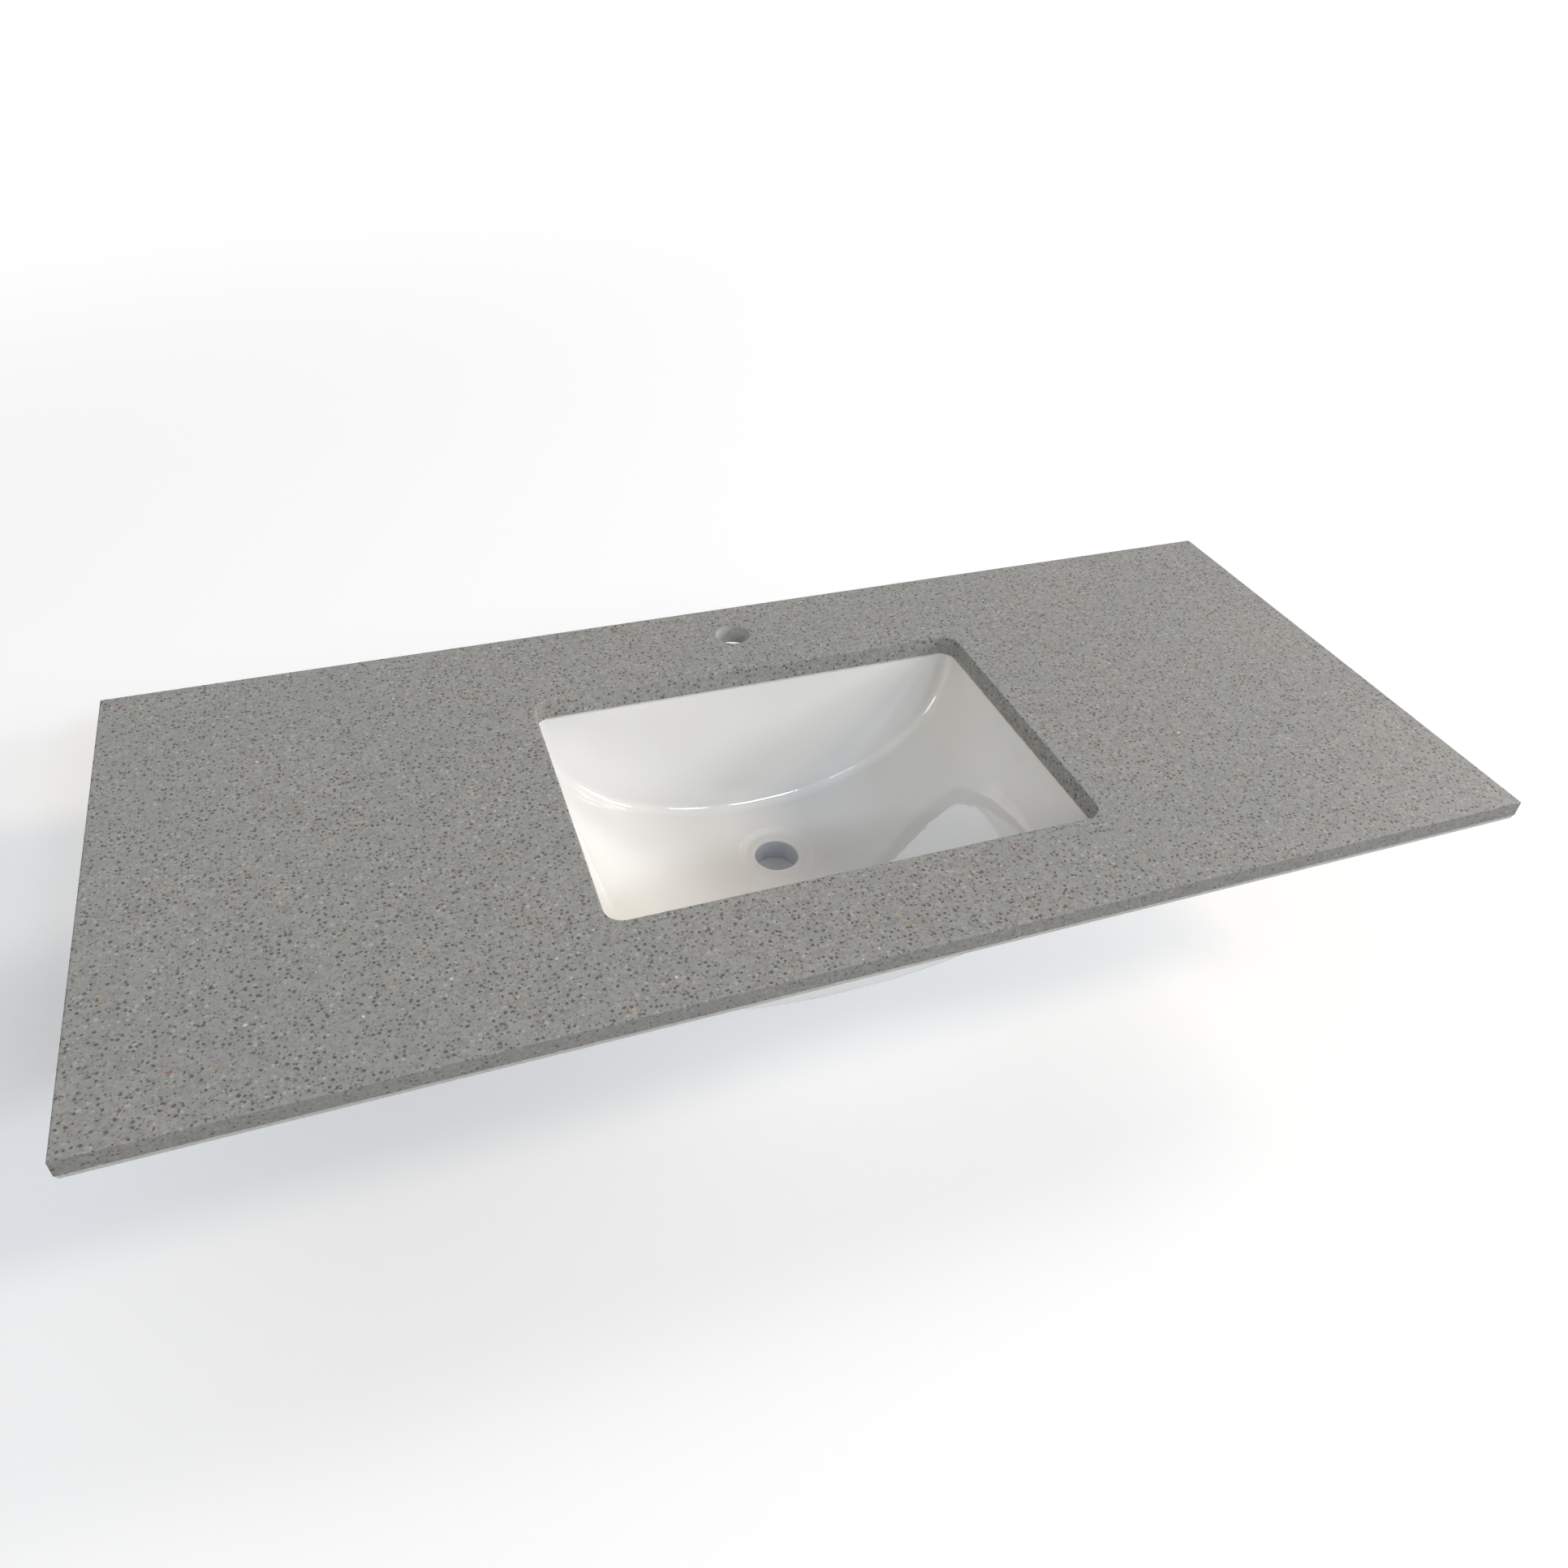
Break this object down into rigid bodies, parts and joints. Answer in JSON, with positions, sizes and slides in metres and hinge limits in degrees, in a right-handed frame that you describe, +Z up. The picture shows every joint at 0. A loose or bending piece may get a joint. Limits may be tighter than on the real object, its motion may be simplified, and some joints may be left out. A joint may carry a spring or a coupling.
{
  "type": "undermount washbasin",
  "caption": "Flat stone washbasin top with a tap hole and a rectangular cut-out, and a white china bowl sealed and clipped under it.",
  "frame": {"origin": "on the underside of the stone top, on its centre line, over the middle of the 18 mm board at the back of the cabinet, 9 mm in from the top's rear edge", "axes": "+X along the top to the right seen from the front, +Y towards the wall, +Z up"},
  "size_m": [1.2, 0.52, 0.1962],
  "materials": {
    "stone": "polished mid-grey engineered stone with fine dark grains",
    "china": "glossy white glaze",
    "sealant": "satin translucent white silicone",
    "anchor_brass": "turned brass",
    "zinc_steel": "bright zinc plating",
    "clip_steel": "zinc-plated pressed sheet"
  },
  "bodies": {
    "root": {"stone_top": "stone", "silicone_bead": "sealant", "basin_bowl": "china", "anchor_back_left": "anchor_brass", "anchor_back_right": "anchor_brass", "anchor_front_left": "anchor_brass", "anchor_front_right": "anchor_brass", "stud_back_left": "zinc_steel", "stud_back_right": "zinc_steel", "stud_front_left": "zinc_steel", "stud_front_right": "zinc_steel"},
    "clamp_back_left": {"washer_back_left": "zinc_steel"},
    "clamp_back_right": {"washer_back_right": "zinc_steel"},
    "clamp_front_left": {"washer_front_left": "zinc_steel"},
    "clamp_front_right": {"washer_front_right": "zinc_steel"},
    "nut_back_left": {"wing_nut_back_left": "zinc_steel"},
    "nut_back_right": {"wing_nut_back_right": "zinc_steel"},
    "nut_front_left": {"wing_nut_front_left": "zinc_steel"},
    "nut_front_right": {"wing_nut_front_right": "zinc_steel"},
    "clip_back_left": {"clip_back_left": "clip_steel"},
    "clip_back_right": {"clip_back_right": "clip_steel"},
    "clip_front_left": {"clip_front_left": "clip_steel"},
    "clip_front_right": {"clip_front_right": "clip_steel"}
  },
  "joints": [
    {"name": "clamp_back_left_travel", "type": "slide", "parent": "root", "child": "clamp_back_left", "axis": [0, 0, -1], "range_m": [0, 0.008]},
    {"name": "clamp_back_right_travel", "type": "slide", "parent": "root", "child": "clamp_back_right", "axis": [0, 0, -1], "range_m": [0, 0.008]},
    {"name": "clamp_front_left_travel", "type": "slide", "parent": "root", "child": "clamp_front_left", "axis": [0, 0, -1], "range_m": [0, 0.008]},
    {"name": "clamp_front_right_travel", "type": "slide", "parent": "root", "child": "clamp_front_right", "axis": [0, 0, -1], "range_m": [0, 0.008]},
    {"name": "nut_back_left_turn", "type": "hinge", "parent": "clamp_back_left", "child": "nut_back_left", "pos_m": [-0.13, -0.0625, -0.0212], "axis": [0, 0, -1], "range_deg": [0, 2880]},
    {"name": "nut_back_right_turn", "type": "hinge", "parent": "clamp_back_right", "child": "nut_back_right", "pos_m": [0.13, -0.0625, -0.0212], "axis": [0, 0, -1], "range_deg": [0, 2880]},
    {"name": "nut_front_left_turn", "type": "hinge", "parent": "clamp_front_left", "child": "nut_front_left", "pos_m": [-0.13, -0.4595, -0.0212], "axis": [0, 0, -1], "range_deg": [0, 2880]},
    {"name": "nut_front_right_turn", "type": "hinge", "parent": "clamp_front_right", "child": "nut_front_right", "pos_m": [0.13, -0.4595, -0.0212], "axis": [0, 0, -1], "range_deg": [0, 2880]},
    {"name": "clip_back_left_swivel", "type": "hinge", "parent": "clamp_back_left", "child": "clip_back_left", "pos_m": [-0.13, -0.0625, -0.0165], "axis": [0, 0, 1], "continuous": true},
    {"name": "clip_back_right_swivel", "type": "hinge", "parent": "clamp_back_right", "child": "clip_back_right", "pos_m": [0.13, -0.0625, -0.0165], "axis": [0, 0, 1], "continuous": true},
    {"name": "clip_front_left_swivel", "type": "hinge", "parent": "clamp_front_left", "child": "clip_front_left", "pos_m": [-0.13, -0.4595, -0.0165], "axis": [0, 0, 1], "continuous": true},
    {"name": "clip_front_right_swivel", "type": "hinge", "parent": "clamp_front_right", "child": "clip_front_right", "pos_m": [0.13, -0.4595, -0.0165], "axis": [0, 0, 1], "continuous": true}
  ],
  "couplings": [
    {"joint": "nut_back_left_turn", "follows": "clamp_back_left_travel", "rad_per_m": 6283.2},
    {"joint": "nut_back_right_turn", "follows": "clamp_back_right_travel", "rad_per_m": 6283.2},
    {"joint": "nut_front_left_turn", "follows": "clamp_front_left_travel", "rad_per_m": 6283.2},
    {"joint": "nut_front_right_turn", "follows": "clamp_front_right_travel", "rad_per_m": 6283.2}
  ]
}
